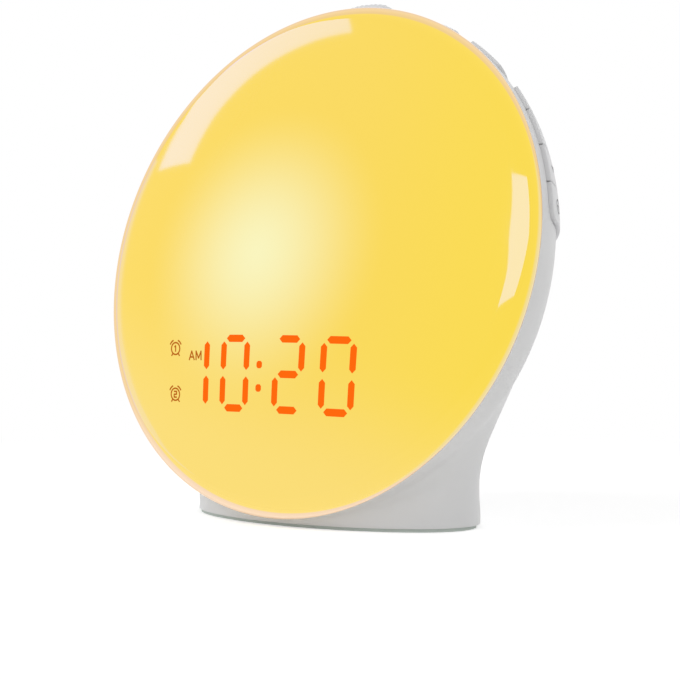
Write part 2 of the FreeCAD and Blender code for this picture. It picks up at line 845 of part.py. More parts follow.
def make_speaker_screws():
    places = [around(speaker_screw_circle, 360 * n / speaker_screw_count) for n in range(speaker_screw_count)]
    level = -speaker_seat_front + gasket_height + speaker_flange
    return screws_at(places, level, speaker_screw_head_radius, speaker_screw_length)


def make_main_board():
    width, height = main_board_size
    back = -main_board_front - board_thickness
    board = block(-width / 2, width / 2, main_board_middle - height / 2, main_board_middle + height / 2,
                  back, -main_board_front)
    holes = [disc(screw_radius + screw_hole_gap, back - 1, -main_board_front + 1, x, v)
             for x, v in board_screw_places()]
    return on_face(board.cut(holes))


def make_main_chips():
    back = -main_board_front - board_thickness
    made = []
    for x, up, width, height, thick in chip_places:
        v = main_board_middle + up
        made.append(on_face(block(x - width / 2, x + width / 2, v - height / 2, v + height / 2,
                                  back - thick, back)))
    return Part.makeCompound(made)


def make_power_board():
    x0, x1, y0, y1 = power_board_box
    return block(x0, x1, y0, y1, power_board_height, power_board_height + board_thickness)


def inner_back(level):
    """Distance behind the origin of the housing's inner back wall at a height."""
    line = Part.makeLine(Vector(0, 0, level), Vector(0, FAR, level))
    return housing_form(-housing_wall).common(line).BoundBox.YMax


def make_dc_jack():
    low = power_board_height + board_thickness
    level = low + jack_height / 2
    face = power_board_box[3]
    body = block(-jack_half_width, jack_half_width, face - jack_length, face, low, low + jack_height)
    nose = rod(jack_nose_radius, Vector(0, face, level), Vector(0, face + jack_nose_reach, level))
    tip = Vector(0, face + jack_nose_reach, level)
    bore = rod(jack_bore_radius, tip - Vector(0, jack_bore_depth, 0), tip + Vector(0, 1, 0))
    pin = rod(jack_pin_radius, tip - Vector(0, jack_bore_depth, 0), tip - Vector(0, jack_pin_setback, 0))
    return body.fuse(nose).cut(bore).fuse(pin).removeSplitter()


def tray_screw_places():
    """Centres of the tray's screws."""
    return [around(tray_boss_circle, angle) for angle in tray_boss_angles]


def main():
    """Builds every sub-part and writes its file."""
    os.makedirs("parts", exist_ok=True)
    save("rear_housing", make_rear_housing())
    save("base_plate", make_base_plate())
    save("base_pad", make_base_pad())
    save("base_screws", Part.makeCompound([base_screw(x, y) for x, y in base_screw_places]))
    save("battery_door", make_battery_door())
    save("battery_door_screw", make_battery_door_screw())
    save("coin_cell", make_coin_cell())
    save("battery_contacts", make_battery_contacts())
    save("front_diffuser", make_front_diffuser())
    save("reflector_tray", make_reflector_tray())
    save("tray_screws", screws_at(tray_screw_places(), -tray_flange_front))
    save("light_board", make_light_board())
    save("light_leds", make_light_leds())
    save("display_block", make_display_block())
    save("display_segments", make_display_segments())
    save("display_board", make_display_board())
    save("display_posts", make_display_posts())
    save("key_board", make_key_board())
    save("key_switches", make_key_switches())
    save("snooze_key", make_snooze_key())
    for n, (first, last, corners, lip) in enumerate(strip_and_pad_keys(), 1):
        right = make_key(first, last, key_front, key_back, key_raise, corners, lip)
        left = make_key(-last, -first, key_front, key_back, key_raise, corners[::-1], lip)
        save("right_key_" + str(n), on_face(right))
        save("left_key_" + str(n), on_face(left))
    save("main_board", make_main_board())
    save("main_chips", make_main_chips())
    save("board_screws", screws_at(board_screw_places(), -main_board_front))
    save("speaker_gasket", make_speaker_gasket())
    save("speaker_frame", make_speaker_frame())
    save("speaker_magnet", make_speaker_magnet())
    save("speaker_cone", make_speaker_cone())
    save("speaker_screws", make_speaker_screws())
    save("power_board", make_power_board())
    save("dc_jack", make_dc_jack())


if __name__ == "__main__":
    main()
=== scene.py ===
"""Looks of the sunrise alarm clock: its lit diffuser, time display, key marks, finishes and studio.

Sizes are in millimetres in the functions and in metres in Blender. The face has its own frame:
x across, v up the leaning face and w out of it. Angles round the face start at its top and grow
towards +X.
"""
import math

import bmesh
import bpy
import numpy as np
from bpy.props import FloatProperty, FloatVectorProperty, PointerProperty
from bpy.types import Operator, Panel, PropertyGroup
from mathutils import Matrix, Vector


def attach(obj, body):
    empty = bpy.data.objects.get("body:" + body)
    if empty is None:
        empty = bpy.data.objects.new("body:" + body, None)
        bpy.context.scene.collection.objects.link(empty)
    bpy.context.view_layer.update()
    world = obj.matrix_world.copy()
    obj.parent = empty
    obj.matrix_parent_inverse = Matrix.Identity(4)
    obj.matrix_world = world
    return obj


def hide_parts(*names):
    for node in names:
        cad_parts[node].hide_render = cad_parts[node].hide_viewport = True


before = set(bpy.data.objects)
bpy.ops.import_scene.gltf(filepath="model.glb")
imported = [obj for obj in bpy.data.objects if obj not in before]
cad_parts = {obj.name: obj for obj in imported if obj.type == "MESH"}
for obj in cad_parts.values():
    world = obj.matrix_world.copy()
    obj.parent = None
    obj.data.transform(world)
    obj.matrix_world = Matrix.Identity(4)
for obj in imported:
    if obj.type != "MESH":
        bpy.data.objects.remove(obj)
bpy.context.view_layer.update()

bl_info = {
    "name": "Sunrise alarm clock",
    "version": (1, 0, 0),
    "blender": (4, 5, 0),
    "location": "3D View > Sidebar > Sunrise clock",
    "description": "Builds the looks of a sunrise alarm clock round its packed solids",
    "category": "Object",
}

ROOT_BODY = "clock"
MM = 0.001

# Sizes of the solids that the looks follow
FACE_RADIUS = 89.0
FACE_TILT = math.radians(14.2)
FACE_CENTRE = np.array([0.0, -11.4, 89.2])
BACK_DEPTH = 52.5
SHOULDER_RADIUS = 7.0
DOME_EDGE = math.radians(8.0)
DIFFUSER_WALL = 2.2
SKIRT_OUTER = 86.5
SKIRT_INNER = 84.5
SKIRT_DEPTH = 1.2
KEY_RAISE = 1.3
RIGHT_KEY_ANGLES = (22.4, 37.6, 52.0, 60.5, 69.3, 77.8)

ACROSS = np.array([1.0, 0.0, 0.0])
UP_FACE = np.array([0.0, math.sin(FACE_TILT), math.cos(FACE_TILT)])
OUT_FACE = np.array([0.0, -math.cos(FACE_TILT), math.sin(FACE_TILT)])

# Steps of the diffuser's skin: along its shoulder, from there to the crown, and round it
SHOULDER_STEPS = 36
CROWN_STEPS = 60
DIFFUSER_TURN_STEPS = 320

# Changes of the diffuser's light: where each starts and where it is complete, in the face's frame
SPOT_PLACE = (-14.2, -1.3)
SPOT_FADE = (54.3, -2.6)
SIDE_FADE = (6.0, 88.0)
LOW_WAY = (0.25, 1.0, 0.0)
LOW_FADE = (-22.0, -78.0)
WALL_FADE = (2.4, 1.2)
WALL_EDGE_FADE = (1.0, 0.3)
# Heights over which the lower rim takes on a painted reflection of the white table
LOW_RIM_REFLECTION_FADE = (-40.0, -80.0)
# The same by how much the sight line grazes the skin, from 0 to 1
RIM_FADE = (0.415, 0.475)
LIMB_FADE = (0.6, 0.92)

# Snooze cap: half length and half depth less the gap round it, place and levels off the dome
CAP_HALF = (13.55, 7.6)
CAP_CORNER = 6.6
CAP_MIDDLE_BACK = 13.0
CAP_FOOT = -2.2
CAP_EDGE = 1.2
# Share of its depth at which the crown is highest, its fall behind that, and how full its ends are
CAP_PEAK = 0.24
CAP_FALL = 0.6
CAP_FALL_POWER = 1.5
CAP_BACK_POWER = 8
CAP_END_POWER = 2.4
CAP_RIB = 0.22
CAP_RIB_PITCH = 1.9
CAP_RIB_REACH = 8.5
CAP_STEPS = (241, 49)
CAP_SHARP_EDGE = math.radians(50)

# Time display: the figures are middle across, width between bar middles and lit bars
FIGURE_MIDDLE = -42.7
FIGURE_LEAN = -0.083
LEAN_CHANGE = 0.0009
STROKE_GAP = 1.05
FIGURES = ((-35.3, 10.6, "bc"), (-16.95, 10.4, "abcdef"), (6.3, 10.7, "abdeg"),
           (26.2, 11.6, "abcdef"))
COLON_CENTRE = (-6.1, -43.6)
COLON_RISE = 3.9
COLON_SIZE = (2.4, 2.5)
COLON_CORNER = 0.6

# Small marks of the display; letters and digits are polylines that are scaled to size
MARK_LEAN = -0.17
MORNING_MARK = (-36.3, -36.9)
LETTER_SIZE = (2.4, 3.05)
LETTER_SPACE = 0.9
LETTER_A = (((0, 0), (0.5, 1), (1, 0)), ((0.17, 0.32), (0.83, 0.32)))
LETTER_M = (((0, 0), (0, 1), (0.5, 0.2), (1, 1), (1, 0)),)
ALARM_MARKS = ((-46.4, -34.5, 1), (-43.8, -50.4, 2))
ALARM_DIGITS = {1: ((-0.5, 0.6), (0, 1), (0, -1)),
                2: ((-0.6, 1), (0.6, 1), (0.6, 0), (-0.6, 0), (-0.6, -1), (0.6, -1))}
# Radius of its dial, radius of its bells, reach of its legs and half height of its digit
ALARM_PARTS = (2.09, 3.08, 3.1625, 0.99)
ALARM_BELL_ANGLE = 42
ALARM_BELL_HALF = 19
ALARM_LEG_ANGLE = 38

# How far flat marks stand above the skin that carries them
MARK_LIFT = 0.03
KEY_MARK_BACK = 12.0
KEY_MARK_LINE = 0.5

# Camera and lamps, in metres; a lamp is name, place, size and the setting of its power
CAMERA_PLACE = np.array([0.3781, -0.48955, 0.07312])
CAMERA_WAY = (-0.60838, 0.79343, -0.0192)
CAMERA_LENS = 95.3
CAMERA_SENSOR = 36.0
LAMP_TARGET = (0.0, 0.0, 0.09)
LAMPS = (("key lamp", (-0.5, -1.0, 1.1), 0.8, "key_power"),
         ("fill lamp", (1.3, -0.3, 0.7), 0.8, "fill_power"),
         ("back lamp", (0.2, 1.2, 0.9), 0.8, "back_power"),
         ("low lamp", (-0.5, -1.0, 0.12), 0.4, "low_power"))

# Mirrored panels: the two curves of the patch that each fills, as angles and radii on the face,
# how far off it hangs in metres, and its share of the panels' strength
SOFT_BOX_COLOUR = (0.14, 0.33, 1.0, 1.0)
SOFT_BOXES = {
    "left soft box": (
        ((-58.9, 64.7), (-43.5, 69.6), (-28.1, 72.9), (-11.0, 75.2), (5.7, 77.6)),
        ((-66.2, 78.6), (-50.0, 82.4), (-32.0, 83.9), (-14.0, 83.8), (3.5, 82.8)), 0.9, 1.0),
    "right soft box": (
        ((73.0, 82.7), (87.0, 82.2), (103.1, 83.2)),
        ((74.5, 87.0), (87.5, 87.3), (99.9, 86.6)), 0.6, 1.3),
    "low soft box": (
        ((-64.0, 81.8), (-90.0, 81.2), (-125.0, 81.4), (-165.0, 83.8)),
        ((-64.0, 83.6), (-90.0, 84.0), (-125.0, 84.3), (-165.0, 84.6)), 0.9, 0.45),
}
SOFT_BOX_STEPS = (40, 12)

# Table: radii of its rings, where it fades to white, and its own light where it is seen
TABLE_RINGS = (0.0, 0.2, 1.5)
TABLE_TURN_STEPS = 96
TABLE_FADE = (0.12, 0.4)
TABLE_LIFT = 0.43
WHITE = (1.0, 1.0, 1.0, 1.0)


# Colours and material nodes

def linear(code):
    """Linear colour of an sRGB hex value."""
    parts = np.array([int(code[k:k + 2], 16) for k in (1, 3, 5)]) / 255.0
    curved = ((parts + 0.055) / 1.055) ** 2.4
    return tuple(float(c) for c in np.where(parts <= 0.04045, parts / 12.92, curved))


def opaque(colour):
    """A colour of three parts as one of four."""
    return tuple(colour)[:3] + (1.0,)


def in_metres(sizes):
    """Metres of sizes given in millimetres."""
    return [size * MM for size in sizes]


def add_node(tree, kind, settings=None, values=None, links=None):
    """Adds a shader node, sets its properties and values, and links sockets to its inputs."""
    made = tree.nodes.new(kind)
    for key, value in (settings or {}).items():
        setattr(made, key, value)
    for key, value in (values or {}).items():
        made.inputs[key].default_value = value
    for key, source in (links or {}).items():
        tree.links.new(source, made.inputs[key])
    return made


def new_material(name):
    """An empty material and its node tree."""
    material = bpy.data.materials.new(name)
    material.use_nodes = True
    material.node_tree.nodes.clear()
    return material, material.node_tree


def finish_material(material, surface):
    """Links a shader to the material's output and returns the material."""
    add_node(material.node_tree, "ShaderNodeOutputMaterial", links={"Surface": surface})
    return material


def layered(tree, colour, layers):
    """Lays colours over one another, each faded in smoothly between two levels of a value.

    A layer is the value's socket, the two levels and its colour, which is a socket or plain.
    """
    for value, (start, full), upper in layers:
        step = add_node(tree, "ShaderNodeMapRange", {"interpolation_type": "SMOOTHSTEP"},
                        {"From Min": start, "From Max": full}, {"Value": value})
        mix = add_node(tree, "ShaderNodeMix", {"data_type": "RGBA"},
                       links={0: step.outputs["Result"]})
        for key, source in ((6, colour), (7, upper)):
            if isinstance(source, bpy.types.NodeSocket):
                tree.links.new(source, mix.inputs[key])
            else:
                mix.inputs[key].default_value = opaque(source)
        colour = mix.outputs[2]
    return colour


def drifting_sheen(tree, roughness, drift, drift_mm):
    """Roughness that drifts to both sides of its level over a set number of millimetres."""
    place = add_node(tree, "ShaderNodeTexCoord").outputs["Object"]
    noise = add_node(tree, "ShaderNodeTexNoise", values={"Scale": 1.0 / (drift_mm * MM)},
                     links={"Vector": place})
    sheen = add_node(tree, "ShaderNodeMapRange", {"interpolation_type": "SMOOTHSTEP"},
                     {"From Min": 0.3, "From Max": 0.7, "To Min": roughness - drift,
                      "To Max": roughness + drift}, {"Value": noise.outputs["Fac"]})
    return sheen.outputs["Result"]


def moulded_plastic(name, colour, roughness, drift_mm):
    """Injection-moulded plastic: one even colour whose satin sheen drifts a little with place."""
    material, tree = new_material(name)
    body = add_node(tree, "ShaderNodeBsdfPrincipled",
                    values={"Base Color": opaque(colour), "IOR": 1.5},
                    links={"Roughness": drifting_sheen(tree, roughness, 0.04, drift_mm)})
    return finish_material(material, body.outputs["BSDF"])


def grained_rubber(name, colour, grain_mm):
    """Moulded silicone, foam or paper: dull, with a fine pitted grain 0.1 mm deep."""
    material, tree = new_material(name)
    place = add_node(tree, "ShaderNodeTexCoord").outputs["Object"]
    grain = add_node(tree, "ShaderNodeTexNoise",
                     values={"Scale": 1.0 / (grain_mm * MM), "Detail": 3.0},
                     links={"Vector": place})
    relief = add_node(tree, "ShaderNodeBump", values={"Strength": 0.15, "Distance": 0.1 * MM},
                      links={"Height": grain.outputs["Fac"]})
    body = add_node(tree, "ShaderNodeBsdfPrincipled",
                    values={"Base Color": opaque(colour), "Roughness": 0.75, "IOR": 1.43},
                    links={"Normal": relief.outputs["Normal"]})
    return finish_material(material, body.outputs["BSDF"])


def plated_metal(name, colour, roughness, drift_mm):
    """Plated metal: bright, with slight drifts in its polish."""
    material, tree = new_material(name)
    body = add_node(tree, "ShaderNodeBsdfPrincipled",
                    values={"Base Color": opaque(colour), "Metallic": 1.0},
                    links={"Roughness": drifting_sheen(tree, roughness, 0.06, drift_mm)})
    return finish_material(material, body.outputs["BSDF"])


def masked_laminate(name, colour, track_colour, track_mm):
    """Glass-cloth circuit laminate under lacquer: a smooth gloss over paler copper tracks."""
    material, tree = new_material(name)
    place = add_node(tree, "ShaderNodeTexCoord").outputs["Object"]
    # A brick of this texture is half a unit long
    tracks = add_node(tree, "ShaderNodeTexBrick", {"offset": 0.35},
                      {"Color1": opaque(colour), "Color2": opaque(colour),
                       "Mortar": opaque(track_colour), "Mortar Size": 0.03,
                       "Scale": 1.0 / (2 * track_mm * MM)}, {"Vector": place})
    body = add_node(tree, "ShaderNodeBsdfPrincipled", values={"Roughness": 0.3, "IOR": 1.5},
                    links={"Base Color": tracks.outputs["Color"]})
    return finish_material(material, body.outputs["BSDF"])


def shining_print(name, colour):
    """Light of the display as it shows through the diffuser: a plain glow without any sheen."""
    material, tree = new_material(name)
    glow = add_node(tree, "ShaderNodeEmission", values={"Color": opaque(colour), "Strength": 1.0})
    return finish_material(material, glow.outputs["Emission"])


def lit_opal(colours):
    """Moulded opal acrylic lit from behind, with the polish of its mould.

    The glow is a warm yellow, deeper at the right and paler low down, with a soft white spot over
    the emitters. At the wall next to the housing it pales. Where the sight line grazes the skin,
    more of the wall is looked through, so the glow turns peach and, right at the limb, dim. Low
    down, near the table, the peach rim is paler still: a painted reflection of the table.
    """
    material, tree = new_material("lit opal acrylic, moulded")
    place = add_node(tree, "ShaderNodeTexCoord").outputs["Object"]
    on_face = add_node(tree, "ShaderNodeMapping", {"vector_type": "TEXTURE"},
                       {"Location": tuple(FACE_CENTRE * MM),
                        "Rotation": (math.pi / 2 - FACE_TILT, 0.0, 0.0)}, {"Vector": place})
    parts = add_node(tree, "ShaderNodeSeparateXYZ", links={"Vector": on_face.outputs["Vector"]})
    across, up, out = (parts.outputs[axis] for axis in "XYZ")
    flat = add_node(tree, "ShaderNodeCombineXYZ", links={"X": across, "Y": up}).outputs["Vector"]
    spot = add_node(tree, "ShaderNodeVectorMath", {"operation": "DISTANCE"},
                    {1: in_metres(SPOT_PLACE + (0.0,))}, {0: flat}).outputs["Value"]
    slant = add_node(tree, "ShaderNodeVectorMath", {"operation": "DOT_PRODUCT"}, {1: LOW_WAY},
                     {0: flat}).outputs["Value"]
    graze = add_node(tree, "ShaderNodeLayerWeight", values={"Blend": 0.5}).outputs["Facing"]
    # Low on the rim the peach pales towards the table: a painted reflection of the table
    rim = layered(tree, colours.rim, [(up, in_metres(LOW_RIM_REFLECTION_FADE), colours.low_rim_table_reflection)])
    layers = ((across, in_metres(SIDE_FADE), colours.side_glow),
              (slant, in_metres(LOW_FADE), colours.low_glow),
              (spot, in_metres(SPOT_FADE), colours.hot_spot),
              (out, in_metres(WALL_FADE), colours.wall),
              (out, in_metres(WALL_EDGE_FADE), colours.wall_edge),
              (graze, RIM_FADE, rim),
              (graze, LIMB_FADE, colours.limb))
    body = add_node(tree, "ShaderNodeBsdfPrincipled",
                    values={"Base Color": (0.02, 0.02, 0.02, 1.0), "Roughness": 0.05, "IOR": 1.49,
                            "Emission Strength": 1.0},
                    links={"Emission Color": layered(tree, colours.glow, layers)})
    return finish_material(material, body.outputs["BSDF"])


# Shapes

def to_world(x, v, w):
    """Metres in the object's frame of points given in millimetres in the face's frame."""
    x, v, w = np.broadcast_arrays(np.asarray(x, float), v, w)
    points = FACE_CENTRE + x[..., None] * ACROSS + v[..., None] * UP_FACE + w[..., None] * OUT_FACE
    return points * MM


def grid_faces(rows, columns, wrap):
    """Quads of a grid of points; with wrap the last column meets the first."""
    last = columns if wrap else columns - 1
    i, j = np.meshgrid(np.arange(rows - 1), np.arange(last), indexing="ij")
    k = (j + 1) % columns
    here, next_row = i * columns, (i + 1) * columns
    return np.stack([here + j, here + k, next_row + k, next_row + j], axis=-1).reshape(-1, 4)


def add_mesh(name, points, faces, material, closed=True):
    """A smooth mesh object at the origin, its doubled points merged.

    A closed one has its faces turned outwards.
    """
    mesh = bpy.data.meshes.new(name)
    mesh.from_pydata(np.asarray(points).reshape(-1, 3), [], np.asarray(faces))
    mesh.materials.append(material)
    work = bmesh.new()
    work.from_mesh(mesh)
    bmesh.ops.remove_doubles(work, verts=work.verts, dist=1e-7)
    if closed:
        bmesh.ops.recalc_face_normals(work, faces=work.faces)
    work.to_mesh(mesh)
    work.free()
    mesh.polygons.foreach_set("use_smooth", np.ones(len(mesh.polygons), bool))
    mesh.update()
    made = bpy.data.objects.new(name, mesh)
    bpy.context.scene.collection.objects.link(made)
    return made


def dome_outline(inset):
    """Radius and height of the diffuser's skin, from the rim to the crown.

    A quarter-round shoulder about a point in from the rim turns up to the dome's edge slope, and
    a large sphere of the same slope carries on to the crown. The inset moves both in.
    """
    centre = FACE_RADIUS - SHOULDER_RADIUS
    sphere = (centre + SHOULDER_RADIUS * math.sin(DOME_EDGE)) / math.sin(DOME_EDGE)
    level = (SHOULDER_RADIUS - sphere) * math.cos(DOME_EDGE)
    turn = np.linspace(0.0, math.pi / 2 - DOME_EDGE, SHOULDER_STEPS)
    slope = np.linspace(DOME_EDGE, 0.0, CROWN_STEPS)[1:]
    small, big = SHOULDER_RADIUS - inset, sphere - inset
    radius = np.concatenate([centre + small * np.cos(turn), big * np.sin(slope)])
    height = np.concatenate([small * np.sin(turn), level + big * np.cos(slope)])
    return radius, height


def dome_height(radius):
    """Height of the diffuser's outer skin at distances from its middle."""
    r, w = dome_outline(0.0)
    return np.interp(radius, r[::-1], w[::-1])


def on_diffuser(x, v):
    """Points just above the diffuser's outer skin."""
    return to_world(x, v, dome_height(np.hypot(x, v)) + MARK_LIFT)


def on_dome(turn, back, lift):
    """Points off the housing's dome by a lift; it is half an ellipsoid behind the face."""
    radius = (FACE_RADIUS + lift) * np.sqrt(1 - (back / (BACK_DEPTH + lift)) ** 2)
    return to_world(radius * np.sin(turn), radius * np.cos(turn), -back)


def on_key(angle):
    """A function that lays flat points on a key's cap: first round the face, then forwards."""
    def lay(s, t):
        turn = math.radians(angle) + s / FACE_RADIUS
        return on_dome(turn, KEY_MARK_BACK - t, KEY_RAISE + MARK_LIFT)

    return lay


def patch_grid(outline, rings=4):
    """Rings of points that shrink a closed outline towards its middle, and their quads."""
    ring = np.asarray(outline, float)
    ring = np.stack([ring, (ring + np.roll(ring, -1, axis=0)) / 2], axis=1).reshape(-1, 2)
    middle = ring.mean(axis=0)
    share = np.linspace(1.0, 0.0, rings)[:, None, None]
    return (middle + (ring - middle) * share).reshape(-1, 2), grid_faces(rings, len(ring), True)


def laid_patches(name, outlines, material, lay):
    """One mesh of convex flat outlines, each filled and laid on a skin by the lay function.

    Every skin bulges away from the face's centre, which tells a face's outer side.
    """
    grids = [patch_grid(outline) for outline in outlines]
    starts = np.cumsum([0] + [len(points) for points, _ in grids[:-1]])
    flat = np.concatenate([points for points, _ in grids])
    faces = np.concatenate([quads + start for (_, quads), start in zip(grids, starts)])
    laid = lay(flat[:, 0], flat[:, 1])
    a, b, c, d = (laid[faces[:, k]] for k in range(4))
    out = (a + b + c + d) / 4 - FACE_CENTRE * MM
    inwards = (np.cross(c - a, d - b) * out).sum(axis=1) < 0
    faces[inwards] = faces[inwards][:, ::-1]
    return add_mesh(name, laid, faces, material, closed=False)


def line_outlines(points, width):
    """Rectangles along a polyline, each a little longer than its run so that corners are filled."""
    points = np.asarray(points, float)
    starts, ends = points[:-1], points[1:]
    way = (ends - starts) / np.linalg.norm(ends - starts, axis=1)[:, None]
    side = np.stack([-way[:, 1], way[:, 0]], axis=1) * width / 2
    a, b = starts - way * width / 4, ends + way * width / 4
    return list(np.stack([a - side, b - side, b + side, a + side], axis=1))


def arc(centre, radius, start, end, count):
    """Points along an arc, its angles in degrees counter-clockwise from the first axis."""
    turn = np.radians(np.linspace(start, end, count))
    return np.stack([centre[0] + radius * np.cos(turn), centre[1] + radius * np.sin(turn)], axis=1)


def bar_outline(start, end, stroke):
    """Six corners of a straight display bar with pointed ends."""
    start, end = np.array(start), np.array(end)
    way = (end - start) / np.linalg.norm(end - start) * stroke / 2
    side = np.array([-way[1], way[0]])
    return np.array([start, start + way + side, end - way + side,
                     end, end - way - side, start + way - side])


def figure_outlines(centre, width, lit, height, stroke):
    """Outlines of a seven-bar figure's lit bars, which are named by the usual letters a to g."""
    x0, x1 = centre - width / 2, centre + width / 2
    y0, y1, y2 = (FIGURE_MIDDLE + height / 2 * k for k in (-1, 0, 1))
    g = STROKE_GAP
    ends = {"a": ((x0 + g, y2), (x1 - g, y2)), "b": ((x1, y2 - g), (x1, y1 + g)),
            "c": ((x1, y1 - g), (x1, y0 + g)), "d": ((x0 + g, y0), (x1 - g, y0)),
            "e": ((x0, y1 - g), (x0, y0 + g)), "f": ((x0, y2 - g), (x0, y1 + g)),
            "g": ((x0 + g, y1), (x1 - g, y1))}
    return [bar_outline(*ends[letter], stroke) for letter in lit]


def leaned(points):
    """Points sheared about the figures' middle height, a little less towards the right."""
    x, y = np.asarray(points, float).T
    return np.stack([x + (FIGURE_LEAN + LEAN_CHANGE * x) * (y - FIGURE_MIDDLE), y], axis=1)


def display_outlines(height, stroke):
    """Outlines of the lit figures and of the colon's two dots."""
    outlines = [bar for figure in FIGURES for bar in figure_outlines(*figure, height, stroke)]
    half_x, half_y = COLON_SIZE[0] / 2, COLON_SIZE[1] / 2
    cut_x, cut_y = half_x - COLON_CORNER, half_y - COLON_CORNER
    dot = np.array([(half_x, -cut_y), (half_x, cut_y), (cut_x, half_y), (-cut_x, half_y),
                    (-half_x, cut_y), (-half_x, -cut_y), (-cut_x, -half_y), (cut_x, -half_y)])
    outlines += [dot + COLON_CENTRE + np.array([0.0, side * COLON_RISE]) for side in (-1, 1)]
    return [leaned(outline) for outline in outlines]


def letter_lines():
    """Polylines of the two small letters that mark the morning half of the day."""
    x, y = MORNING_MARK
    wide, high = LETTER_SIZE
    edges = (x - LETTER_SPACE / 2 - wide, x + LETTER_SPACE / 2)
    return [np.array([edge, y - high / 2]) + np.array(line) * LETTER_SIZE
            for edge, letter in zip(edges, (LETTER_A, LETTER_M)) for line in letter]


def alarm_lines(x, y, number):
    """Polylines of a small ringing clock with a number in it."""
    centre = np.array([x, y])
    dial, bell, leg, digit = ALARM_PARTS
    lines = [arc(centre, dial, 0, 360, 25)]
    for side in (-1, 1):
        middle = 90 - side * ALARM_BELL_ANGLE
        lines.append(arc(centre, bell, middle - ALARM_BELL_HALF, middle + ALARM_BELL_HALF, 6))
        turn = math.radians(-90 + side * ALARM_LEG_ANGLE)
        way = np.array([math.cos(turn), math.sin(turn)])
        lines.append([centre + way * dial, centre + way * leg])
    return lines + [centre + digit * np.array(ALARM_DIGITS[number])]


def key_marks():
    """Polylines of the plain pictograms on the keys, in a square from -1 to 1."""
    rays = [[(0.55 * math.cos(a), 0.55 * math.sin(a)), (math.cos(a), math.sin(a))]
            for a in np.linspace(0, 2 * math.pi, 8, endpoint=False)]
    sun = [arc((0, 0), 0.32, 0, 360, 17)] + rays
    bell = [[(-0.8, -0.5), (-0.55, -0.2), (-0.5, 0.4), (0, 0.85), (0.5, 0.4), (0.55, -0.2),
             (0.8, -0.5), (-0.8, -0.5)], arc((0, -0.6), 0.22, 180, 360, 6)]
    minus = [[(-0.8, 0), (0.8, 0)]]
    plus = minus + [[(0, -0.8), (0, 0.8)]]
    note = [arc((-0.35, -0.6), 0.28, 0, 360, 13), [(-0.07, -0.6), (-0.07, 0.9), (0.6, 0.5)]]
    clock = [arc((0, 0), 0.85, 0, 360, 25), [(0, 0.5), (0, 0), (0.4, -0.2)]]
    moon = [arc((0, 0), 0.85, 60, 300, 20), arc((0.42, 0), 0.73, 100, 260, 16)]
    waves = [arc((-0.7, 0), r, -50, 50, 10) for r in (0.5, 0.95, 1.4)]
    rise = [[(-0.7, -0.3), (0, 0.5), (0.7, -0.3)]]
    fall = [[(-0.7, 0.3), (0, -0.5), (0.7, 0.3)]]
    horn = [[(-0.9, -0.3), (-0.5, -0.3), (0, -0.8), (0, 0.8), (-0.5, 0.3), (-0.9, 0.3),
             (-0.9, -0.3)], arc((0.1, 0), 0.6, -45, 45, 8)]
    power = [arc((0, 0), 0.75, 120, 420, 24), [(0, 0.2), (0, 0.95)]]
    return {"right": (sun, bell, plus, minus, note, clock),
            "left": (moon, waves, rise, fall, horn, power)}


# What a user may change

def colour_property(name, description, code):
    """A colour setting with its default as an sRGB hex value."""
    return FloatVectorProperty(name=name, description=description, default=linear(code),
                               subtype="COLOR", size=3, min=0.0, max=1.0)


def size_property(name, description, size):
    """A length setting with its default in millimetres."""
    return FloatProperty(name=name, description=description, default=size * MM, min=0.0,
                         unit="LENGTH", precision=4)


def power_property(name, description, watts):
    """A setting of a lamp's power."""
    return FloatProperty(name=name, description=description, default=watts, min=0.0, unit="POWER")


class ClockColours(PropertyGroup):
    """Colours of the finishes and of the light."""
    glow: colour_property("Glow", "Light of the diffuser over most of the face", "#f3d145")
    side_glow: colour_property("Side glow", "Light of the diffuser at its right side", "#f4d433")
    low_glow: colour_property("Low glow", "Light of the diffuser near its lower edge", "#f4d564")
    hot_spot: colour_property("Hot spot", "Light of the diffuser over the emitters", "#f2edb4")
    wall: colour_property("Wall", "Light of the shoulder next to the housing", "#ebd489")
    wall_edge: colour_property("Wall edge", "Light of the diffuser's outermost edge", "#e5d8b2")
    rim: colour_property("Rim", "Light where the sight line grazes the shoulder", "#e6c179")
    # Paler peach of the lower rim: a painted reflection of the white table, not the acrylic's own
    # tint
    low_rim_table_reflection: colour_property("Low rim", "The same near the table", "#ebcba8")
    limb: colour_property("Limb", "Light at the very outline of the diffuser", "#aa7930")
    figures: colour_property("Figures", "Light of the time display", "#ff690f")
    small_marks: colour_property("Small marks", "Light of the alarm and morning marks", "#bc6419")
    housing: colour_property("Housing", "Moulded plastic of the housing and foot", "#e2e2e2")
    keys: colour_property("Keys", "Moulded plastic of the press keys", "#e2e2e3")
    key_print: colour_property("Key print", "Ink of the marks on the keys", "#4a4a4c")
    foot_pad: colour_property("Foot pad", "Rubber under the foot", "#cdd6cf")


class ClockSizes(PropertyGroup):
    """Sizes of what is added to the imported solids."""
    figure_height: size_property("Figure height", "Height of the figures between bar middles", 23.5)
    stroke: size_property("Figure stroke", "Width of the bars of the lit figures", 2.5)
    mark_line: size_property("Mark line", "Line width of the alarm and morning marks", 0.55)
    key_mark: size_property("Key mark", "Height and width of the marks on the keys", 5.2)
    cap_crown: size_property("Cap crown", "Rise of the snooze cap from its edge to its middle", 5.0)


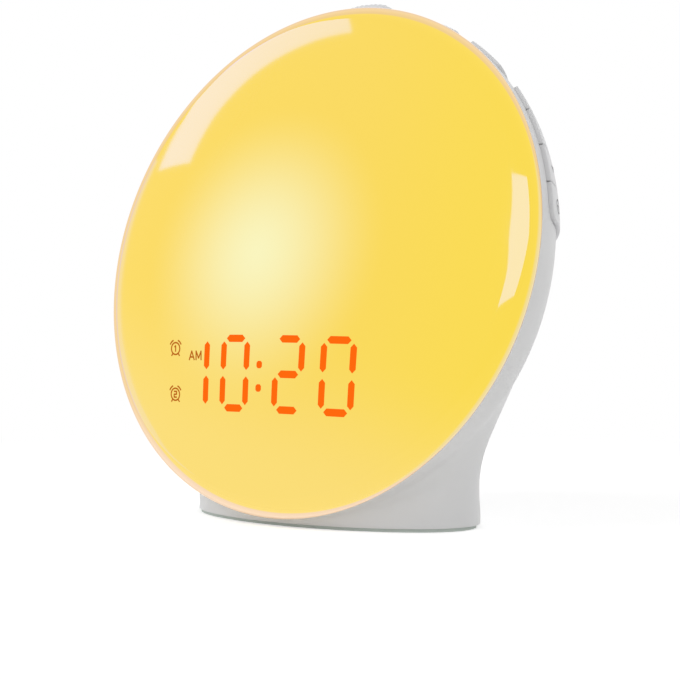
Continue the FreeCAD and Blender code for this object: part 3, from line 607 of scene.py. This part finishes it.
class ClockStudio(PropertyGroup):
    """Camera, lamps and table."""
    lens: FloatProperty(name="Lens", description="Focal length of the camera",
                        default=CAMERA_LENS, min=10.0, unit="CAMERA")
    key_power: power_property("Key lamp", "Power of the lamp in front", 7.0)
    fill_power: power_property("Fill lamp", "Power of the lamp at the right", 4.0)
    back_power: power_property("Back lamp", "Power of the lamp behind", 4.0)
    low_power: power_property("Low lamp", "Power of the low lamp in front of the foot", 2.0)
    sky: FloatProperty(name="Sky", description="Strength of the even light from all round",
                       default=0.42, min=0.0)
    gloss: FloatProperty(name="Soft box", description="Strength of the panels mirrored in the face",
                         default=8.0, min=0.0)


def put_on(name, body=ROOT_BODY):
    """Ties a finished piece to its body."""
    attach(name, body)
    return {"FINISHED"}


class CLOCK_OT_finishes(Operator):
    """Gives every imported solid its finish"""
    bl_idname = "sunrise.finishes"
    bl_label = "Finishes of the solids"

    def execute(self, context):
        colours = context.scene.sunrise_colours
        white = moulded_plastic("satin ABS, moulded", colours.housing, 0.42, 9.0)
        keys = moulded_plastic("satin ABS of the keys, moulded", colours.keys, 0.38, 6.0)
        pad = grained_rubber("silicone foot pad, moulded", colours.foot_pad, 0.5)
        foam = grained_rubber("closed-cell foam, cut", linear("#1c1c1c"), 0.6)
        paper = grained_rubber("speaker paper, pressed", linear("#26221f"), 0.4)
        dark = moulded_plastic("black nylon, moulded", linear("#18181a"), 0.45, 4.0)
        bright = moulded_plastic("white polycarbonate, moulded", linear("#f0f0ee"), 0.5, 8.0)
        lens = moulded_plastic("amber epoxy, cast", linear("#ff8a3a"), 0.2, 3.0)
        steel = plated_metal("zinc-plated steel", linear("#c8c9cc"), 0.3, 2.5)
        brass = plated_metal("nickel-plated brass", linear("#cdbd92"), 0.28, 2.5)
        board = masked_laminate("lacquered circuit laminate", linear("#1d5a35"),
                                linear("#2f7a49"), 3.0)
        finishes = {
            white: ("rear_housing", "base_plate", "battery_door"),
            keys: [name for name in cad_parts
                   if name.startswith(("right_key", "left_key", "snooze"))],
            pad: ("base_pad",),
            foam: ("speaker_gasket",),
            paper: ("speaker_cone",),
            dark: ("display_block", "key_switches", "main_chips", "dc_jack"),
            bright: ("reflector_tray", "light_board"),
            lens: ("light_leds", "display_segments"),
            steel: ("base_screws", "battery_door_screw", "coin_cell", "tray_screws",
                    "board_screws", "speaker_frame", "speaker_magnet", "speaker_screws"),
            brass: ("display_posts", "battery_contacts"),
            board: ("display_board", "key_board", "main_board", "power_board"),
        }
        for material, names in finishes.items():
            for name in names:
                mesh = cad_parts[name].data
                mesh.materials.clear()
                mesh.materials.append(material)
        return {"FINISHED"}


class CLOCK_OT_diffuser(Operator):
    """Builds the lit diffuser as one smooth turned skin with its locating skirt"""
    bl_idname = "sunrise.diffuser"
    bl_label = "Lit diffuser"

    def execute(self, context):
        r_in, w_in = (part[::-1] for part in dome_outline(DIFFUSER_WALL))
        r_out, w_out = dome_outline(0.0)
        keep = r_in < SKIRT_INNER
        skirt_r = [SKIRT_INNER, SKIRT_INNER, SKIRT_OUTER, SKIRT_OUTER]
        skirt_w = [np.interp(SKIRT_INNER, r_in, w_in), -SKIRT_DEPTH, -SKIRT_DEPTH, 0.0]
        radius = np.concatenate([r_in[keep], skirt_r, r_out])[:, None]
        height = np.concatenate([w_in[keep], skirt_w, w_out])[:, None]
        turn = np.linspace(0.0, 2 * math.pi, DIFFUSER_TURN_STEPS, endpoint=False)
        points = to_world(radius * np.sin(turn), radius * np.cos(turn), height)
        skin = add_mesh("lit_diffuser", points, grid_faces(len(radius), len(turn), True),
                        lit_opal(context.scene.sunrise_colours))
        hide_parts("front_diffuser")
        return put_on(skin)


class CLOCK_OT_figures(Operator):
    """Lays the lit figures and colon of the time display on the diffuser"""
    bl_idname = "sunrise.figures"
    bl_label = "Time figures"

    def execute(self, context):
        light = shining_print("orange display light", context.scene.sunrise_colours.figures)
        sizes = context.scene.sunrise_sizes
        outlines = display_outlines(sizes.figure_height / MM, sizes.stroke / MM)
        shown = laid_patches("lit_figures", outlines, light, on_diffuser)
        return put_on(shown)


class CLOCK_OT_small_marks(Operator):
    """Lays the morning mark and the two alarm marks on the diffuser"""
    bl_idname = "sunrise.small_marks"
    bl_label = "Small display marks"

    def execute(self, context):
        width = context.scene.sunrise_sizes.mark_line / MM
        groups = [(MORNING_MARK[1], letter_lines())]
        groups += [(y, alarm_lines(x, y, number)) for x, y, number in ALARM_MARKS]
        outlines = [outline + MARK_LEAN * (outline[:, 1:] - level) * np.array([1.0, 0.0])
                    for level, lines in groups for line in lines
                    for outline in line_outlines(line, width)]
        light = shining_print("dim display light", context.scene.sunrise_colours.small_marks)
        shown = laid_patches("small_marks", outlines, light, on_diffuser)
        return put_on(shown)


class CLOCK_OT_snooze(Operator):
    """Builds the crowned cap of the snooze key with its grip ribs"""
    bl_idname = "sunrise.snooze"
    bl_label = "Snooze cap"

    def execute(self, context):
        long, deep = CAP_HALF
        crown = context.scene.sunrise_sizes.cap_crown / MM
        along, aback = (np.sin(np.linspace(-math.pi / 2, math.pi / 2, n)) for n in CAP_STEPS)
        s = long * along[:, None]
        past = np.maximum(np.abs(s) - (long - CAP_CORNER), 0.0)
        half = deep - CAP_CORNER + np.sqrt(CAP_CORNER ** 2 - past ** 2)
        t = half * aback
        share = (t / half + 1) / 2
        rise = np.sqrt(1 - np.clip((CAP_PEAK - share) / CAP_PEAK, 0, 1) ** 2)
        back_off = np.clip((share - CAP_PEAK) / (1 - CAP_PEAK), 0, 1)
        fall = (1 - CAP_FALL * back_off ** CAP_FALL_POWER) * np.sqrt(1 - back_off ** CAP_BACK_POWER)
        across = np.sqrt(np.clip(1 - np.abs(s / long) ** CAP_END_POWER, 0, 1))
        ribbed = np.abs(s) < CAP_RIB_REACH + CAP_RIB_PITCH / 4
        ribs = np.cos(2 * math.pi * s / CAP_RIB_PITCH) * ribbed * np.sin(math.pi * share) ** 0.5
        lift = CAP_EDGE + crown * across * rise * fall + CAP_RIB * ribs
        # The wall goes down to the cap's foot on both sides, and a point closes each end
        t = np.concatenate([t, half, -half], axis=1)
        lift = np.concatenate([lift, np.full((len(s), 2), CAP_FOOT)], axis=1)
        end = np.zeros((1, t.shape[1]))
        t = np.concatenate([end, t, end])
        lift = np.concatenate([end, lift, end])
        s = np.concatenate([s[:1], s, s[-1:]])
        points = on_dome(s / FACE_RADIUS + 0 * t, CAP_MIDDLE_BACK + t, lift)
        cap = add_mesh("snooze_cap", points, grid_faces(len(s), t.shape[1], True),
                       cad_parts["snooze_key"].data.materials[0])
        cap.data.set_sharp_from_angle(angle=CAP_SHARP_EDGE)
        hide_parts("snooze_key")
        return put_on(cap, "snooze_key")


class CLOCK_OT_key_marks(Operator):
    """Prints a plain pictogram on each of the twelve side keys"""
    bl_idname = "sunrise.key_marks"
    bl_label = "Key marks"

    def execute(self, context):
        ink = moulded_plastic("pad-printed ink", context.scene.sunrise_colours.key_print, 0.5, 2.0)
        half = context.scene.sunrise_sizes.key_mark / MM / 2
        for side, turn in (("right", 1), ("left", -1)):
            marks = zip(key_marks()[side], RIGHT_KEY_ANGLES)
            for number, (lines, angle) in enumerate(marks, 1):
                outlines = [outline for line in lines
                            for outline in line_outlines(np.array(line) * half, KEY_MARK_LINE)]
                name = f"{side}_key_{number}"
                mark = laid_patches(name + "_mark", outlines, ink, on_key(turn * angle))
                put_on(mark, name)
        return {"FINISHED"}


# Studio

def patch_points(inner, outer):
    """Points of a patch of the face between two curves, their angles and their radii."""
    rows, columns = SOFT_BOX_STEPS
    along = np.linspace(0.0, 1.0, rows)
    share = np.linspace(0.0, 1.0, columns)
    first, last = (np.array([np.interp(along, np.linspace(0.0, 1.0, len(curve)), part)
                             for part in zip(*curve)])[..., None] for curve in (inner, outer))
    angle, radius = first + (last - first) * share
    turn = np.radians(angle)
    points = to_world(radius * np.sin(turn), radius * np.cos(turn), dome_height(radius))
    return points, turn, radius


def mirrored_panel(name, inner, outer, distance, strength, only):
    """A glowing panel whose mirror image in the face, as the camera sees it, fills a patch of it.

    The patch lies between two curves, each given by its angle and radius at a few even steps.
    Each point of the patch throws the camera's sight line back by the mirror law, and the panel
    lies a set distance along it. It is mirrored only in the objects of one collection.
    """
    points, turn, radius = patch_points(inner, outer)
    r, w = dome_outline(0.0)
    slope = np.arctan2(np.diff(w), -np.diff(r))
    lean = np.interp(radius, ((r[1:] + r[:-1]) / 2)[::-1], slope[::-1])[..., None]
    outwards = np.sin(turn)[..., None] * ACROSS + np.cos(turn)[..., None] * UP_FACE
    normal = np.sin(lean) * outwards + np.cos(lean) * OUT_FACE
    sight = points - CAMERA_PLACE
    sight /= np.linalg.norm(sight, axis=-1, keepdims=True)
    thrown = sight - 2 * (sight * normal).sum(axis=-1, keepdims=True) * normal
    material, tree = new_material(name + " cloth")
    glow = add_node(tree, "ShaderNodeEmission",
                    values={"Color": SOFT_BOX_COLOUR, "Strength": strength})
    finish_material(material, glow.outputs["Emission"])
    panel = add_mesh(name, points + thrown * distance, grid_faces(*SOFT_BOX_STEPS, False),
                     material, closed=False)
    panel.light_linking.receiver_collection = only
    panel.visible_camera = False
    panel.visible_diffuse = False
    panel.visible_shadow = False


def soft_lamp(name, place, size, power):
    """A square lamp aimed at the clock; it lights without being mirrored."""
    light = bpy.data.lights.new(name, "AREA")
    light.size = size
    light.energy = power
    lamp = bpy.data.objects.new(name, light)
    lamp.location = place
    way = Vector(LAMP_TARGET) - Vector(place)
    lamp.rotation_euler = way.to_track_quat("-Z", "Y").to_euler()
    lamp.visible_glossy = False
    bpy.context.scene.collection.objects.link(lamp)


def seen_directly(tree):
    """1 for rays from the camera, mirrored and passed-through ones, 0 for the light on things."""
    path = add_node(tree, "ShaderNodeLightPath").outputs
    seen = path["Is Camera Ray"]
    for ray in ("Is Glossy Ray", "Is Transmission Ray"):
        both = add_node(tree, "ShaderNodeMath", {"operation": "MAXIMUM"},
                        links={0: seen, 1: path[ray]})
        seen = both.outputs["Value"]
    return seen


class CLOCK_OT_studio(Operator):
    """Sets up the camera, the lamps, the mirrored panels, the white surround and the table"""
    bl_idname = "sunrise.studio"
    bl_label = "Studio"

    def execute(self, context):
        scene, studio = context.scene, context.scene.sunrise_studio
        scene.view_settings.view_transform = "Standard"
        eye = bpy.data.cameras.new("camera")
        eye.lens = studio.lens
        eye.sensor_width = CAMERA_SENSOR
        camera = bpy.data.objects.new("camera", eye)
        camera.location = CAMERA_PLACE
        camera.rotation_euler = Vector(CAMERA_WAY).to_track_quat("-Z", "Y").to_euler()
        scene.collection.objects.link(camera)
        scene.camera = camera
        self.surround(scene, studio)
        self.table()
        for name, place, size, setting in LAMPS:
            soft_lamp(name, place, size, getattr(studio, setting))
        only = bpy.data.collections.new("mirroring face")
        only.objects.link(bpy.data.objects["lit_diffuser"])
        for name, (inner, outer, distance, share) in SOFT_BOXES.items():
            mirrored_panel(name, inner, outer, distance, share * studio.gloss, only)
        return {"FINISHED"}

    def surround(self, scene, studio):
        """Even light from all round, white where it is seen."""
        world = bpy.data.worlds.new("white surround")
        world.use_nodes = True
        scene.world = world
        tree = world.node_tree
        tree.nodes.clear()
        dim, white = (add_node(tree, "ShaderNodeBackground",
                               values={"Strength": strength, "Color": WHITE}).outputs["Background"]
                      for strength in (studio.sky, 1.0))
        shown = add_node(tree, "ShaderNodeMixShader",
                         links={0: seen_directly(tree), 1: dim, 2: white})
        add_node(tree, "ShaderNodeOutputWorld", links={"Surface": shown.outputs["Shader"]})

    def table(self):
        """A round pale table that keeps the clock's shadow and fades to white at its edge."""
        material, tree = new_material("pale table, matt paint")
        place = add_node(tree, "ShaderNodeTexCoord").outputs["Object"]
        reach = add_node(tree, "ShaderNodeVectorMath", {"operation": "LENGTH"}, links={0: place})
        fade = add_node(tree, "ShaderNodeMapRange", {"interpolation_type": "SMOOTHSTEP"},
                        {"From Min": TABLE_FADE[0], "From Max": TABLE_FADE[1]},
                        {"Value": reach.outputs["Value"]})
        matt = add_node(tree, "ShaderNodeBsdfDiffuse",
                        values={"Color": opaque(linear("#f2f2f2"))}).outputs["BSDF"]
        lift, white = (add_node(tree, "ShaderNodeEmission",
                                values={"Strength": strength, "Color": WHITE}).outputs["Emission"]
                       for strength in (TABLE_LIFT, 1.0))
        near = add_node(tree, "ShaderNodeAddShader", links={0: matt, 1: lift})
        shown = add_node(tree, "ShaderNodeMixShader", links={
            0: fade.outputs["Result"], 1: near.outputs["Shader"], 2: white})
        mixed = add_node(tree, "ShaderNodeMixShader", links={
            0: seen_directly(tree), 1: matt, 2: shown.outputs["Shader"]})
        finish_material(material, mixed.outputs["Shader"])
        turn = np.linspace(0.0, 2 * math.pi, TABLE_TURN_STEPS, endpoint=False)
        radius = np.array(TABLE_RINGS)[:, None]
        flat = [radius * np.cos(turn), radius * np.sin(turn), 0 * radius * turn]
        faces = grid_faces(len(TABLE_RINGS), TABLE_TURN_STEPS, True)
        add_mesh("table", np.stack(flat, axis=-1), faces, material)


STEPS = (CLOCK_OT_finishes, CLOCK_OT_diffuser, CLOCK_OT_figures, CLOCK_OT_small_marks,
         CLOCK_OT_snooze, CLOCK_OT_key_marks, CLOCK_OT_studio)


class CLOCK_PT_sidebar(Panel):
    """Lists the settings and the steps"""
    bl_idname = "CLOCK_PT_sidebar"
    bl_label = "Sunrise clock"
    bl_space_type = "VIEW_3D"
    bl_region_type = "UI"
    bl_category = "Sunrise clock"

    def draw(self, context):
        scene = context.scene
        for settings in (scene.sunrise_sizes, scene.sunrise_colours, scene.sunrise_studio):
            for name in settings.__annotations__:
                self.layout.prop(settings, name)
        for step in STEPS:
            self.layout.operator(step.bl_idname)


CLASSES = (ClockColours, ClockSizes, ClockStudio) + STEPS + (CLOCK_PT_sidebar,)


def register():
    """Adds the classes and the settings to Blender."""
    for made in CLASSES:
        bpy.utils.register_class(made)
    bpy.types.Scene.sunrise_colours = PointerProperty(type=ClockColours)
    bpy.types.Scene.sunrise_sizes = PointerProperty(type=ClockSizes)
    bpy.types.Scene.sunrise_studio = PointerProperty(type=ClockStudio)


def unregister():
    """Takes them away again."""
    del bpy.types.Scene.sunrise_colours
    del bpy.types.Scene.sunrise_sizes
    del bpy.types.Scene.sunrise_studio
    for made in reversed(CLASSES):
        bpy.utils.unregister_class(made)


def main():
    """Builds the looks step by step."""
    register()
    for step in STEPS:
        getattr(bpy.ops.sunrise, step.bl_idname.partition(".")[2])()


if __name__ == "__main__":
    main()
